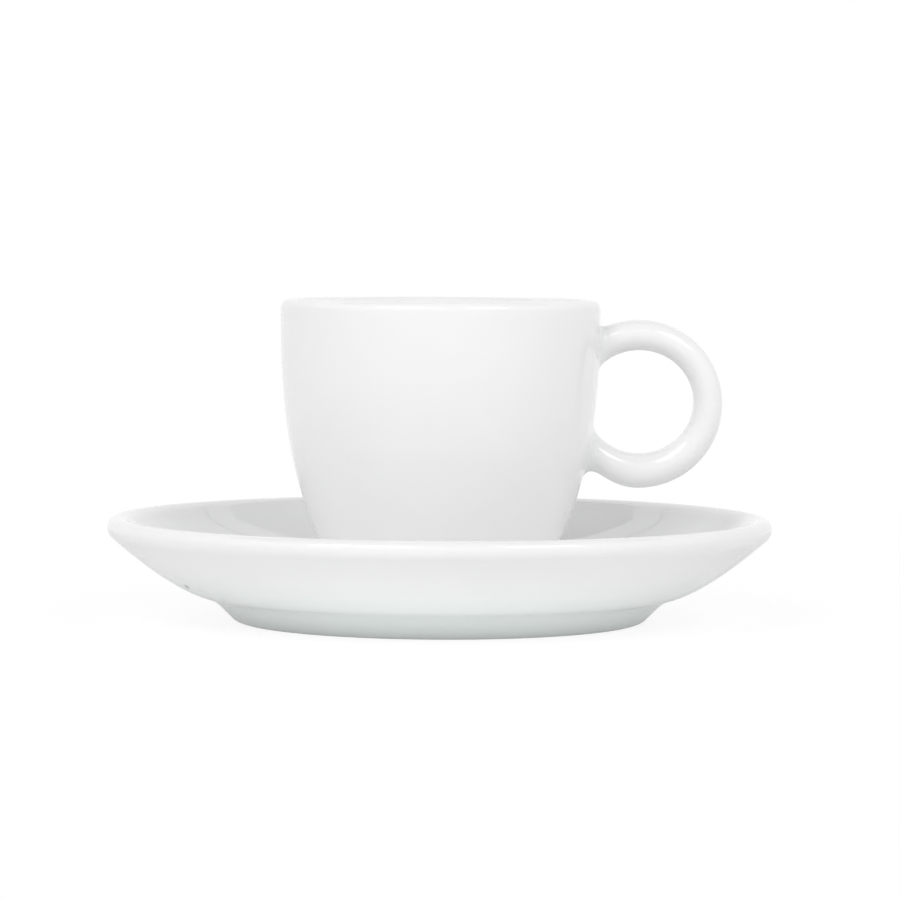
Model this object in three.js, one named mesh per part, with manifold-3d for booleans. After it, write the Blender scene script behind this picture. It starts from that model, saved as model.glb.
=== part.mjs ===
// Cappuccino cup with saucer, white glazed porcelain.
// A turned cup body, a ring handle that is luted to it with slip, and a saucer with a seat for the cup.
// Millimetres, +Z up. The origin is on the common axis, in the plane that the saucer stands on.
// The handle points to +X.

import * as THREE from "three";
import { mergeVertices } from "three/addons/utils/BufferGeometryUtils.js";
import Module from "manifold-3d";

const wasm = await Module();
wasm.setup();

// Saucer: outside
const SAUCER_DIAMETER = 160;
const SAUCER_HEIGHT = 25;
const LIP_OUTER_RADIUS = 2.2; // rounding of the rim from its widest line up to the top
const LIP_UNDER_RADIUS = 3.5; // from the widest line down to the underside
const LIP_INNER_RADIUS = 5; // from the top down into the dish
const SAUCER_UNDER_SLOPE = 41.5; // degrees, where the underside runs into the rim
const SAUCER_UNDER_PULL = 8; // how long the underside holds that slope
const SAUCER_BOWL_SLOPE = 15; // degrees, where the underside leaves the foot
const SAUCER_BOWL_PULL = 6.8;
const SAUCER_FOOT_DIAMETER = 98.5; // outside, at the table
const SAUCER_FOOT_FLARE = 45; // degrees, slope of the foot's outer flank
const SAUCER_FOOT_HEIGHT = 5.4; // table to the corner between flank and bowl
const SAUCER_FOOT_FILLET = 2.8; // set-back of the fillet in that corner
const SAUCER_FOOT_WIDTH = 3.6; // ring that meets the table
const SAUCER_FOOT_RECESS = 2.8; // hollow inside the foot ring
const SAUCER_RECESS_DRAFT = 1.2; // how far the hollow narrows on its way up

// Saucer: inside
const SAUCER_INNER_SLOPE = 50; // degrees, where the dish leaves the rim
const SAUCER_INNER_PULL = 10;
const SAUCER_FLOOR_DIAMETER = 84; // level floor of the dish
const SAUCER_FLOOR_PULL = 6;
const SAUCER_FLOOR_THICKNESS = 5.4;
const WELL_DEPTH = 0.8; // shallow seat that keeps the cup in the middle
const WELL_CLEARANCE = 1; // between the cup's foot and the seat's edge, all round
const WELL_EDGE_DRAFT = 0.5;

// Cup body
const CUP_DIAMETER = 77; // at the rim, outside
const CUP_HEIGHT = 70;
const CUP_RIM_THICKNESS = 4.6;
const CUP_UPRIGHT_PULL = 26.6; // how far down from the rim the wall stays upright
const CUP_FLARE_SLOPE = 58; // degrees, where the wall leaves the foot
const CUP_FLARE_PULL = 23.6;
const CUP_FOOT_DIAMETER = 46; // outside, on the saucer
const CUP_FOOT_HEIGHT = 1.8;
const CUP_FOOT_DRAFT = 0.5; // how far the foot widens on its way up
const CUP_FOOT_WIDTH = 2.6; // ring that meets the saucer
const CUP_FOOT_RECESS = 1.4;
const CUP_FLOOR_THICKNESS = 4.6;
const CUP_FLOOR_DIAMETER = 24; // level floor inside
const CUP_FLOOR_PULL = 18;
const CUP_INNER_UPRIGHT_PULL = 28;

// Handle: a ring between an outer circle and a finger hole a little off its middle
const HANDLE_DIAMETER = 40.5;
const FINGER_HOLE_DIAMETER = 24.8;
const FINGER_HOLE_RISE = 0.5; // makes the ring fuller below than above
const FINGER_HOLE_SHIFT = 0.85; // away from the cup, makes the ring slimmer at its far side
const HANDLE_WIDTH = 8.4; // across the ring, along Y
const HANDLE_DROP = 25; // cup's rim down to the ring's middle
const HANDLE_STANDOFF = 9.2; // cup's widest wall out to the ring's middle

// Slip seams between the handle's two roots and the wall
const SEAM_THICKNESS = 1.2;
const SEAM_FLARE = 1.4; // how far the wiped slip spreads past the handle, all round
const SEAM_GAP = 0.3; // between the seam and the pieces that it joins

// Steps of the curves
const TURN_STEPS = 64;
const QUARTER_STEPS = 5; // a quarter turn of a rounded rim
const WALL_STEPS = 10;
const FILLET_STEPS = 3;
const RING_STEPS = 84;
const SECTION_STEPS = 20;
const SEAM_RING_STEPS = 168; // finer, so that the flare is round

// Colours of the glaze
const GLAZE = { color: 0xf3f3f3, roughness: 0.12, metalness: 0 };

// Heights and places that follow from the sizes
const saucerFloorZ = SAUCER_FOOT_RECESS + SAUCER_FLOOR_THICKNESS;
const wellFloorZ = saucerFloorZ - WELL_DEPTH;
const cupRimZ = CUP_HEIGHT - CUP_RIM_THICKNESS / 2; // middle of the rounded rim, above the cup's foot
const ringX = CUP_DIAMETER / 2 + HANDLE_STANDOFF;
const ringZ = CUP_HEIGHT - HANDLE_DROP;

// Points and stretches of a profile, as radius and height
const radians = THREE.MathUtils.degToRad;
const at = (r, z) => new THREE.Vector2(r, z);

function along(point, degrees, length) {
  const a = radians(degrees);
  return at(point.x + length * Math.cos(a), point.y + length * Math.sin(a));
}

function arc(centre, radius, from, to, steps) {
  const [start, end] = [radians(from), radians(to)];
  const curve = new THREE.EllipseCurve(centre.x, centre.y, radius, radius, start, end, start > end);
  return curve.getPoints(steps);
}

function fillet(from, corner, to) {
  return new THREE.QuadraticBezierCurve(from, corner, to).getPoints(FILLET_STEPS);
}

function cubic(from, pullFrom, pullTo, to) {
  return new THREE.CubicBezierCurve(from, pullFrom, pullTo, to).getPoints(WALL_STEPS);
}

function revolve(profile) {
  const points = profile.filter((p, i) => i === 0 || p.distanceTo(profile[i - 1]) > 1e-4);
  return new THREE.LatheGeometry(points, TURN_STEPS).rotateX(Math.PI / 2);
}

// Solids for cutting and joining
function solid(geometry) {
  const bare = geometry.clone();
  bare.deleteAttribute("normal");
  bare.deleteAttribute("uv");
  const merged = mergeVertices(bare);
  return new wasm.Manifold(
    new wasm.Mesh({
      numProp: 3,
      vertProperties: new Float32Array(merged.attributes.position.array),
      triVerts: new Uint32Array(merged.index.array),
    }),
  );
}

function geometryOf(manifold) {
  const mesh = manifold.getMesh();
  const geometry = new THREE.BufferGeometry();
  geometry.setAttribute("position", new THREE.BufferAttribute(mesh.vertProperties, 3));
  geometry.setIndex(new THREE.BufferAttribute(mesh.triVerts, 1));
  geometry.computeVertexNormals();
  return geometry;
}

// Saucer: foot ring, bowl-like underside, rounded rim, dish and the cup's seat.
function saucerGeometry() {
  const widestR = SAUCER_DIAMETER / 2;
  const lip = at(widestR - LIP_OUTER_RADIUS, SAUCER_HEIGHT - LIP_OUTER_RADIUS);
  const underLip = at(widestR - LIP_UNDER_RADIUS, lip.y);
  const innerLip = at(lip.x, SAUCER_HEIGHT - LIP_INNER_RADIUS);
  const underRim = along(underLip, SAUCER_UNDER_SLOPE - 90, LIP_UNDER_RADIUS);
  const innerRim = along(innerLip, SAUCER_INNER_SLOPE + 90, LIP_INNER_RADIUS);

  const footR = SAUCER_FOOT_DIAMETER / 2;
  const recessR = footR - SAUCER_FOOT_WIDTH;
  const flareR = SAUCER_FOOT_HEIGHT / Math.tan(radians(SAUCER_FOOT_FLARE));
  const footCorner = at(footR + flareR, SAUCER_FOOT_HEIGHT);
  const flankEnd = along(footCorner, SAUCER_FOOT_FLARE, -SAUCER_FOOT_FILLET);
  const bowlStart = along(footCorner, SAUCER_BOWL_SLOPE, SAUCER_FOOT_FILLET);

  const floorEdge = at(SAUCER_FLOOR_DIAMETER / 2, saucerFloorZ);
  const wellR = CUP_FOOT_DIAMETER / 2 + WELL_CLEARANCE;

  return revolve([
    at(0, SAUCER_FOOT_RECESS),
    at(recessR - SAUCER_RECESS_DRAFT, SAUCER_FOOT_RECESS),
    at(recessR, 0),
    at(footR, 0),
    ...fillet(flankEnd, footCorner, bowlStart),
    ...cubic(
      bowlStart,
      along(bowlStart, SAUCER_BOWL_SLOPE, SAUCER_BOWL_PULL),
      along(underRim, SAUCER_UNDER_SLOPE, -SAUCER_UNDER_PULL),
      underRim,
    ),
    ...arc(underLip, LIP_UNDER_RADIUS, SAUCER_UNDER_SLOPE - 90, 0, FILLET_STEPS),
    ...arc(lip, LIP_OUTER_RADIUS, 0, 90, QUARTER_STEPS),
    ...arc(innerLip, LIP_INNER_RADIUS, 90, SAUCER_INNER_SLOPE + 90, FILLET_STEPS),
    ...cubic(
      innerRim,
      along(innerRim, SAUCER_INNER_SLOPE, -SAUCER_INNER_PULL),
      at(floorEdge.x + SAUCER_FLOOR_PULL, floorEdge.y),
      floorEdge,
    ),
    at(wellR + WELL_EDGE_DRAFT, saucerFloorZ),
    at(wellR, wellFloorZ),
    at(0, wellFloorZ),
  ]);
}

// Outer wall of the cup, from the top of its foot to the rim, moved outwards by a margin.
function cupWall(margin = 0) {
  const foot = at(CUP_FOOT_DIAMETER / 2 + CUP_FOOT_DRAFT + margin, CUP_FOOT_HEIGHT);
  const rim = at(CUP_DIAMETER / 2 + margin, cupRimZ);
  return cubic(foot, along(foot, CUP_FLARE_SLOPE, CUP_FLARE_PULL), at(rim.x, rim.y - CUP_UPRIGHT_PULL), rim);
}

// Cup body: foot ring, bucket-shaped wall, rounded rim and the inside down to a level floor.
function cupBodyGeometry() {
  const rimRadius = CUP_RIM_THICKNESS / 2;
  const rim = at(CUP_DIAMETER / 2 - rimRadius, cupRimZ);
  const innerRim = at(rim.x - rimRadius, rim.y);
  const footR = CUP_FOOT_DIAMETER / 2;
  const floorEdge = at(CUP_FLOOR_DIAMETER / 2, CUP_FOOT_RECESS + CUP_FLOOR_THICKNESS);

  return revolve([
    at(0, CUP_FOOT_RECESS),
    at(footR - CUP_FOOT_WIDTH - CUP_FOOT_DRAFT, CUP_FOOT_RECESS),
    at(footR - CUP_FOOT_WIDTH, 0),
    at(footR, 0),
    ...cupWall(),
    ...arc(rim, rimRadius, 0, 180, 2 * QUARTER_STEPS),
    ...cubic(
      innerRim,
      at(innerRim.x, innerRim.y - CUP_INNER_UPRIGHT_PULL),
      at(floorEdge.x + CUP_FLOOR_PULL, floorEdge.y),
      floorEdge,
    ),
    at(0, floorEdge.y),
  ]);
}

// The cup filled to its axis and grown by a margin, to trim what is fixed to its wall.
function cupBlock(margin) {
  const wall = cupWall(margin);
  const top = at(wall.at(-1).x, CUP_HEIGHT);
  return solid(revolve([at(0, 0), at(wall[0].x, 0), ...wall, top, at(0, CUP_HEIGHT)]));
}

// Radius of the cup's wall at a height above its foot.
function wallRadius(z) {
  const wall = cupWall();
  const i = wall.findIndex((p) => p.y >= z);
  if (i === -1) return wall.at(-1).x;
  if (i === 0) return wall[0].x;
  return THREE.MathUtils.mapLinear(z, wall[i - 1].y, wall[i].y, wall[i - 1].x, wall[i].x);
}

// The handle's whole ring. Each section is an oval that reaches from the finger hole to the outer circle.
// spread(point) is how much further it reaches all round at that point of the ring.
function ringSolid(steps, spread = () => 0) {
  const ring = new THREE.TorusGeometry(2, 1, SECTION_STEPS, steps);
  const position = ring.attributes.position;
  const unit = new THREE.Vector3();
  const place = (outward, across, turn, extra) => {
    const outer = HANDLE_DIAMETER / 2;
    const hole = FINGER_HOLE_DIAMETER / 2;
    const middle = (outer + hole) / 2 + outward * ((outer - hole) / 2 + extra);
    const inward = (1 - outward) / 2;
    return new THREE.Vector3(
      ringX + FINGER_HOLE_SHIFT * inward + middle * Math.cos(turn),
      across * (HANDLE_WIDTH / 2 + extra),
      ringZ + FINGER_HOLE_RISE * inward + middle * Math.sin(turn),
    );
  };
  for (let i = 0; i < position.count; i++) {
    unit.fromBufferAttribute(position, i);
    const outward = Math.hypot(unit.x, unit.y) - 2;
    const turn = Math.atan2(unit.y, unit.x);
    const point = place(outward, -unit.z, turn, 0);
    position.setXYZ(i, ...place(outward, -unit.z, turn, spread(point)));
  }
  return solid(ring);
}

// Handle: the part of the ring that stands clear of the wall and its seams.
function handleGeometry() {
  return geometryOf(ringSolid(RING_STEPS).subtract(cupBlock(SEAM_THICKNESS + 2 * SEAM_GAP)));
}

// Slip seam: a thin saddle on the wall that flares from the handle's section to a wider foot.
function seamGeometry(side) {
  const outside = SEAM_GAP + SEAM_THICKNESS;
  const flare = (point) => {
    const clear = Math.hypot(point.x, point.y) - wallRadius(point.z);
    const share = THREE.MathUtils.clamp(1 - (clear - SEAM_GAP) / SEAM_THICKNESS, 0, 1);
    return SEAM_FLARE * share ** 2;
  };
  const layer = cupBlock(outside).subtract(cupBlock(SEAM_GAP));
  const half = new THREE.BoxGeometry(2 * HANDLE_DIAMETER, 2 * HANDLE_WIDTH, HANDLE_DIAMETER);
  half.translate(ringX, 0, ringZ + (side * HANDLE_DIAMETER) / 2);
  return geometryOf(ringSolid(SEAM_RING_STEPS, flare).intersect(layer).intersect(solid(half)));
}

function piece(name, geometry) {
  const mesh = new THREE.Mesh(geometry, new THREE.MeshStandardMaterial(GLAZE));
  mesh.name = name;
  return mesh;
}

const cup = new THREE.Group();
cup.position.z = wellFloorZ;
cup.add(
  piece("cup_body", cupBodyGeometry()),
  piece("handle", handleGeometry()),
  piece("upper_slip_seam", seamGeometry(1)),
  piece("lower_slip_seam", seamGeometry(-1)),
);

const set = new THREE.Group();
set.add(piece("saucer", saucerGeometry()), cup);

export default set;
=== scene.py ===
"""Cappuccino cup with saucer: white glazed porcelain on a pale studio floor.

A turned saucer, a turned cup body and a ring handle that grows out of the cup's wall.
Metres, +Z up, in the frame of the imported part. The handle points to +X.
"""

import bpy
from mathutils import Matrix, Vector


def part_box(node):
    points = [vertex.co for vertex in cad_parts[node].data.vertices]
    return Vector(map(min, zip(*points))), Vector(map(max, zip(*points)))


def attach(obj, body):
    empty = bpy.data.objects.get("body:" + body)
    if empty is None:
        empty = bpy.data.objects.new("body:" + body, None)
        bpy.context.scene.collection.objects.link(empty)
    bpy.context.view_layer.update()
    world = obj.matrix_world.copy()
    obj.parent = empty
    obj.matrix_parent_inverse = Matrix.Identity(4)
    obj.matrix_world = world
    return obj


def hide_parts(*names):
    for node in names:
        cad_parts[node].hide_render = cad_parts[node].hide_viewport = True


bl_info = {
    "name": "Cappuccino Cup with Saucer",
    "version": (1, 0, 0),
    "blender": (4, 5, 0),
    "location": "3D View > Sidebar > Crockery",
    "description": "Makes a glazed porcelain cup, its ring handle and its saucer, and a studio round them",
    "category": "Add Mesh",
}

import math

import bpy
import numpy as np
from bpy.props import FloatProperty, FloatVectorProperty, IntProperty, PointerProperty
from mathutils import Matrix, Vector

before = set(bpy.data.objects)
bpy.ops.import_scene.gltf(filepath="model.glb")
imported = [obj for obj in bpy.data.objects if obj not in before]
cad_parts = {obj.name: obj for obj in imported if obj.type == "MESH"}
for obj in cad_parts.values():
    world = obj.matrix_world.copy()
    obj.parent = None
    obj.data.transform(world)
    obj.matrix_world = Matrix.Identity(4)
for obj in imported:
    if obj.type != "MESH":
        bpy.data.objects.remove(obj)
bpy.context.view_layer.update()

MM = 0.001
TAU = 2 * math.pi

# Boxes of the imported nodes, which give the main sizes and places
SAUCER_LOW, SAUCER_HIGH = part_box("saucer")
CUP_LOW, CUP_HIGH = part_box("cup_body")
HANDLE_LOW, HANDLE_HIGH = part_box("handle")
HANDLE_ACROSS = HANDLE_HIGH.z - HANDLE_LOW.z

# Steps of the curves
WALL_STEPS = 36
QUARTER_STEPS = 10
EDGE_STEPS = 5
RING_STEPS = 120
SECTION_STEPS = 64
ROOT_STEPS = 12
LONGEST_STEP = 3 * MM  # along a profile
SAME_POINT = 1e-4 * MM  # points of a profile that are nearer than this are one

# Turned pieces
SAUCER_SEED = 11  # of the firing's warp
CUP_SEED = 23
BARE_HEIGHT = 0.1 * MM  # what lies lower than this over the foot's plane is bare
MERGE_DISTANCE = 0.001 * MM  # closes the seam and the poles

# Roots of the handle
ROOT_POOL = 0.25  # how far the glaze has run together in them
ROOT_SINK = 0.025 * MM  # how deep their edge lies in the warped wall
ROOT_SKIRT = 0.5 * MM  # how far the handle goes on from that edge, under the wall's face
ROOT_SKIRT_DEPTH = 0.06 * MM  # and how deep that skirt ends
ROOT_END_DEPTH = 1.2 * MM  # how deep the handle's closed end lies
TURN_NUDGE = 1e-4  # small turn that gives the directions on the ring, in radians
HALVINGS = 50  # of the turn, to find where the ring meets the wall
SETTLE_MOVES = 4  # of a point towards the wall

# Names of the attributes that the materials and the trees read
# the pool attribute also carries the faint green tint low on the saucer's outside
POOL = "glaze_pool"
BARE = "bare_foot"


def linear(code):
    """An sRGB hex colour as linear red, green, blue and alpha."""
    parts = [int(code[i : i + 2], 16) / 255 for i in (1, 3, 5)]
    return (*[p / 12.92 if p <= 0.04045 else ((p + 0.055) / 1.055) ** 2.4 for p in parts], 1.0)


# Settings that a user may change

def length(name, description, millimetres):
    """A length, written in millimetres and kept in metres."""
    return FloatProperty(name=name, description=description, default=millimetres * MM, min=0.0,
                         precision=5, subtype="DISTANCE", unit="LENGTH")


def slope(name, description, degrees):
    """An angle, written in degrees and kept in radians."""
    return FloatProperty(name=name, description=description, default=math.radians(degrees),
                         subtype="ANGLE", unit="ROTATION")


def strength(name, description, value, unit="NONE"):
    """The strength of a light, or another plain number."""
    return FloatProperty(name=name, description=description, default=value, min=0.0, unit=unit)


def colour(name, description, code):
    """A colour, written as sRGB hex and kept linear."""
    return FloatVectorProperty(name=name, description=description, default=linear(code), size=4,
                               min=0.0, max=1.0, subtype="COLOR")


class SaucerSizes(bpy.types.PropertyGroup):
    """Sizes of the saucer"""

    diameter: length("Diameter", "Across the rim", (SAUCER_HIGH.x - SAUCER_LOW.x) / MM)
    height: length("Height", "Table to the top of the rim", SAUCER_HIGH.z / MM)
    lip_outer: length("Lip Outer Radius", "Rounding of the rim from its widest line up to the top", 2.2)
    lip_under: length("Lip Under Radius", "Rounding from the widest line down to the underside", 3.5)
    lip_inner: length("Lip Inner Radius", "Rounding from the top down into the dish", 5)
    under_slope: slope("Under Slope", "Where the underside runs into the rim", 41.5)
    under_pull: length("Under Pull", "How long the underside holds that slope", 8)
    bowl_slope: slope("Bowl Slope", "Where the underside leaves the foot", 15)
    bowl_pull: length("Bowl Pull", "How long the underside holds that slope", 6.8)
    foot_diameter: length("Foot Diameter", "Outside, at the table", 98.5)
    foot_flare: slope("Foot Flare", "Slope of the foot's outer flank", 45)
    foot_height: length("Foot Height", "Table to the corner between flank and bowl", 5.4)
    foot_fillet: length("Foot Fillet", "Set-back of the fillet in that corner", 2.8)
    foot_width: length("Foot Width", "Ring that meets the table", 3.6)
    foot_recess: length("Foot Recess", "Hollow inside the foot ring", 2.8)
    recess_draft: length("Recess Draft", "How far the hollow narrows on its way up", 1.2)
    inner_slope: slope("Inner Slope", "Where the dish leaves the rim", 50)
    inner_pull: length("Inner Pull", "How long the dish holds that slope", 10)
    floor_diameter: length("Floor Diameter", "Level floor of the dish", 84)
    floor_pull: length("Floor Pull", "How gently the dish runs into its floor", 6)
    floor_thickness: length("Floor Thickness", "Floor over the hollow of the foot", 5.4)
    well_diameter: length("Well Diameter", "Seat of the cup's foot", 48)
    well_depth: length("Well Depth", "How deep the seat is", 0.8)
    well_draft: length("Well Draft", "How far the seat's edge widens on its way up", 0.5)
    # Below this height the saucer's outside takes a faint green tint, which fades in over a few millimetres
    gathered: length("Gathered Glaze", "Height below which glaze has gathered on the outside", 14)
    foot_rounding: length("Foot Rounding", "Outer edge of the foot, at the table", 1.2)
    edge_rounding: length("Edge Rounding", "Sponged edges of the foot's hollow and the seat", 0.45)


class CupSizes(bpy.types.PropertyGroup):
    """Sizes of the cup body"""

    diameter: length("Diameter", "Across the rim, outside", (CUP_HIGH.x - CUP_LOW.x) / MM)
    height: length("Height", "Foot to the top of the rim", (CUP_HIGH.z - CUP_LOW.z) / MM)
    seat: length("Seat", "Height of the seat that the foot stands on", CUP_LOW.z / MM)
    rim_thickness: length("Rim Thickness", "Across the rounded rim", 4.6)
    upright_pull: length("Upright Pull", "How far down from the rim the wall stays upright", 26.6)
    flare_slope: slope("Flare Slope", "Where the wall leaves the foot", 58)
    flare_pull: length("Flare Pull", "How long the wall holds that slope", 23.6)
    foot_diameter: length("Foot Diameter", "Outside, on the saucer", 46)
    foot_height: length("Foot Height", "Saucer to the wall", 1.8)
    foot_draft: length("Foot Draft", "How far the foot widens on its way up", 0.5)
    foot_width: length("Foot Width", "Ring that meets the saucer", 2.6)
    foot_recess: length("Foot Recess", "Hollow inside the foot ring", 1.4)
    floor_thickness: length("Floor Thickness", "Floor over the hollow of the foot", 4.6)
    floor_diameter: length("Floor Diameter", "Level floor inside", 24)
    floor_pull: length("Floor Pull", "How gently the inside runs into its floor", 18)
    inner_upright_pull: length("Inner Upright Pull", "How far down the inside stays upright", 28)
    edge_rounding: length("Edge Rounding", "Sponged edges of the foot", 0.45)


class HandleSizes(bpy.types.PropertyGroup):
    """Sizes of the handle"""

    diameter: length("Diameter", "Outer circle of the ring", HANDLE_ACROSS / MM)
    hole_diameter: length("Hole Diameter", "Finger hole", 24.8)
    hole_shift: length("Hole Shift", "How far the hole is moved out, to make the ring slimmer there", 0.85)
    hole_rise: length("Hole Rise", "How far the hole is raised, to make the ring fuller below", 0.5)
    width: length("Width", "Across the ring", (HANDLE_HIGH.y - HANDLE_LOW.y) / MM)
    reach: length("Reach", "Cup's axis to the ring's middle", (HANDLE_HIGH.x - HANDLE_ACROSS / 2) / MM)
    level: length("Level", "Table to the ring's middle", (HANDLE_HIGH.z + HANDLE_LOW.z) / 2 / MM)
    taper: length("Taper", "How much the ring's underside is taken in towards the lower root", 1.05)
    taper_start: slope("Taper Start", "How far below level the taper starts, round the ring", 92)
    taper_end: slope("Taper End", "How far below level the taper is full", 125)
    upper_ring_fillet: length("Upper Ring Fillet", "Set-back along the ring's top, at the upper root", 2.8)
    upper_wall_fillet: length("Upper Wall Fillet", "Set-back up the wall from there", 1.0)
    lower_ring_fillet: length("Lower Ring Fillet", "Set-back along the underside, at the lower root", 4.6)
    lower_wall_fillet: length("Lower Wall Fillet", "Set-back down the wall from there", 3.8)
    inner_fillet: length("Inner Fillet", "Set-back in the corners of the finger hole", 2.0)
    side_fillet: length("Side Fillet", "Set-back at the sides of both roots", 3.0)


class GlazeColours(bpy.types.PropertyGroup):
    """Colours and finish of the porcelain"""

    white: colour("White", "Glaze over the white body", "#F3F3F3")
    shade: colour("Shade", "Glaze where it lies a little thicker", "#F0F0F0")
    pooled: colour("Pooled", "Glaze that has run together", "#E9F3EF")
    speck: colour("Speck", "Iron spot under the glaze", "#6E685F")
    bare: colour("Bare", "Body that was wiped free of glaze", "#E6E2DA")
    bare_shade: colour("Bare Shade", "Grey that the bare body has picked up", "#D2CDC4")
    turn_steps: IntProperty(name="Turn Steps", description="Steps of a full turn", default=192, min=16)
    warp: length("Warp", "How far the firing has moved the walls", 0.05)
    warp_spacing: length("Warp Spacing", "From one such swelling to the next", 42)


class StudioSettings(bpy.types.PropertyGroup):
    """Floor, light and camera"""

    backdrop: colour("Backdrop", "Floor and backdrop as the camera sees them", "#FFFFFF")
    paper: colour("Paper", "Paper of the table under the lights", "#E6E6E6")
    paper_grain: colour("Paper Grain", "Lighter grain of that paper", "#EAEAEA")
    shadow_paper: colour("Shadow Paper", "How strongly the table shows its shadow", "#6C6C6C")
    seam: colour("Seam", "Dark seam in the backdrop", "#101010")
    left_wall: colour("Left Wall", "Room over the backdrop, on the left", "#4A4A3C")
    right_wall: colour("Right Wall", "Room over the backdrop, on the right", "#9A9A9A")
    backdrop_top: slope("Backdrop Top", "How high the backdrop reaches", 48.2)
    seam_level: slope("Seam Level", "How high its seam lies", 41.25)
    bounce: strength("Backdrop Light", "Soft light from the backdrop", 0.85)
    room: strength("Room Light", "Soft light from the room over it", 0.34)
    key: strength("Key Light", "Power of the left softbox", 7.5, unit="POWER")
    fill: strength("Fill Light", "Power of the right softbox", 5.3, unit="POWER")
    table: strength("Table Light", "Glow of the table round the foot", 0.175)
    front: strength("Front Light", "More of that glow in front of the foot", 0.15)
    camera_height: length("Camera Height", "Above the table", 93.07)
    camera_distance: length("Camera Distance", "In front of the cup's axis", 967.9)
    lens: strength("Lens", "Focal length on a 36 mm sensor", 160.86, unit="CAMERA")
    tilt: slope("Tilt", "How far the camera looks down", 3.077)
    turn: slope("Turn", "How far the camera looks to the right", 0.143)
    roll: slope("Roll", "How far the camera leans", 0.281)


class CrockerySettings(bpy.types.PropertyGroup):
    """All settings of the set"""

    saucer: PointerProperty(type=SaucerSizes)
    cup: PointerProperty(type=CupSizes)
    handle: PointerProperty(type=HandleSizes)
    glaze: PointerProperty(type=GlazeColours)
    studio: PointerProperty(type=StudioSettings)


# Profiles, as radius and height. They run from the axis below, round the outside, to the axis above.

def along(point, angle, distance):
    return point + distance * np.array([math.cos(angle), math.sin(angle)])


def arc(centre, radius, start, end):
    steps = max(2, round(QUARTER_STEPS * abs(end - start) / (math.pi / 2)))
    return [along(centre, start + (end - start) * i / steps, radius) for i in range(steps + 1)]


def bezier(*pulls, steps=WALL_STEPS):
    t = np.linspace(0, 1, steps + 1)[:, None]
    points = [np.asarray(p)[None, :] for p in pulls]
    while len(points) > 1:
        points = [a * (1 - t) + b * t for a, b in zip(points, points[1:])]
    return list(points[0])


def rounded(before, corner, after, setback):
    """A rounded corner in place of a sharp one."""
    before, corner, after = map(np.array, (before, corner, after))
    ends = [corner + setback * (p - corner) / np.linalg.norm(p - corner) for p in (before, after)]
    return bezier(ends[0], corner, ends[1], steps=EDGE_STEPS)


def joined(*stretches):
    """One profile from its stretches, with long steps divided."""
    points = [np.array(p, float) for stretch in stretches for p in stretch]
    kept = points[:1]
    for p in points[1:]:
        step = np.linalg.norm(p - kept[-1])
        if step < SAME_POINT:
            continue
        start, pieces = kept[-1], math.ceil(step / LONGEST_STEP)
        kept += [start + (p - start) * i / pieces for i in range(1, pieces + 1)]
    return np.array(kept)


def saucer_profile(s):
    lip = np.array([s.diameter / 2 - s.lip_outer, s.height - s.lip_outer])
    under_lip = np.array([s.diameter / 2 - s.lip_under, lip[1]])
    inner_lip = np.array([lip[0], s.height - s.lip_inner])
    under_rim = along(under_lip, s.under_slope - math.pi / 2, s.lip_under)
    inner_rim = along(inner_lip, s.inner_slope + math.pi / 2, s.lip_inner)

    foot_outer = np.array([s.foot_diameter / 2, 0])
    foot_inner = foot_outer - [s.foot_width, 0]
    hollow_edge = foot_inner + [-s.recess_draft, s.foot_recess]
    foot_corner = foot_outer + [s.foot_height / math.tan(s.foot_flare), s.foot_height]
    flank_end = along(foot_corner, s.foot_flare, -s.foot_fillet)
    bowl_start = along(foot_corner, s.bowl_slope, s.foot_fillet)

    floor = s.foot_recess + s.floor_thickness
    floor_edge = np.array([s.floor_diameter / 2, floor])
    well_bottom = np.array([s.well_diameter / 2, floor - s.well_depth])
    well_top = well_bottom + [s.well_draft, s.well_depth]
    hollow_middle, well_middle = [0, s.foot_recess], [0, floor - s.well_depth]

    # The corner at the back of the foot's hollow is rounded three times as far as a sponged edge
    return joined(
        [hollow_middle],
        rounded(hollow_middle, hollow_edge, foot_inner, 3 * s.edge_rounding),
        rounded(hollow_edge, foot_inner, foot_outer, s.edge_rounding),
        rounded(foot_inner, foot_outer, flank_end, s.foot_rounding),
        bezier(flank_end, foot_corner, bowl_start, steps=2 * EDGE_STEPS),
        bezier(bowl_start, along(bowl_start, s.bowl_slope, s.bowl_pull),
               along(under_rim, s.under_slope, -s.under_pull), under_rim),
        arc(under_lip, s.lip_under, s.under_slope - math.pi / 2, 0),
        arc(lip, s.lip_outer, 0, math.pi / 2),
        arc(inner_lip, s.lip_inner, math.pi / 2, s.inner_slope + math.pi / 2),
        bezier(inner_rim, along(inner_rim, s.inner_slope, -s.inner_pull),
               floor_edge + [s.floor_pull, 0], floor_edge),
        rounded(floor_edge, well_top, well_bottom, s.edge_rounding),
        rounded(well_top, well_bottom, well_middle, s.edge_rounding),
        [well_middle],
    )


def cup_wall(c):
    """Outer wall of the cup, from the top of its foot to the rim."""
    foot = np.array([c.foot_diameter / 2 + c.foot_draft, c.seat + c.foot_height])
    rim = np.array([c.diameter / 2, c.seat + c.height - c.rim_thickness / 2])
    flare = along(foot, c.flare_slope, c.flare_pull)
    return bezier(foot, flare, rim - [0, c.upright_pull], rim, steps=2 * WALL_STEPS)


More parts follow.
